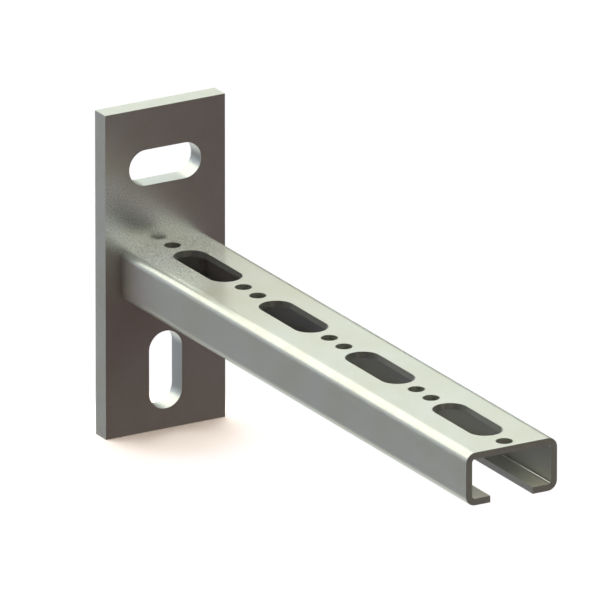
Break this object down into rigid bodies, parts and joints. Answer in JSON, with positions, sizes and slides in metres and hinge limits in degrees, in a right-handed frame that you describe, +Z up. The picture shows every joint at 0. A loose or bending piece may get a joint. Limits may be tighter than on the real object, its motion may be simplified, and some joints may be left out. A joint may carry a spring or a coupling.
{
  "type": "footed c-channel profile",
  "caption": "Cantilever wall bracket: a slotted C-channel rail, mouth down, set square on a flat foot plate with a crosswise and an upright mounting slot.",
  "frame": {"origin": "centre of the foot plate's back face, which lies on the wall", "axes": "+X out of the wall along the rail, +Y across the plate, +Z up towards the rail's slotted web"},
  "size_m": [0.206, 0.04, 0.1],
  "materials": {
    "plate_zinc": "bright zinc plate on flat bar, softly glossy with a fine grain",
    "rail_zinc": "bright zinc plate on rolled strip, softly glossy with a fine grain",
    "weld_bead": "zinc plated weld bead, rippled and duller than the strip"
  },
  "bodies": {
    "root": {"base_plate": "plate_zinc", "channel_rail": "rail_zinc", "root_weld": "weld_bead"}
  },
  "joints": []
}
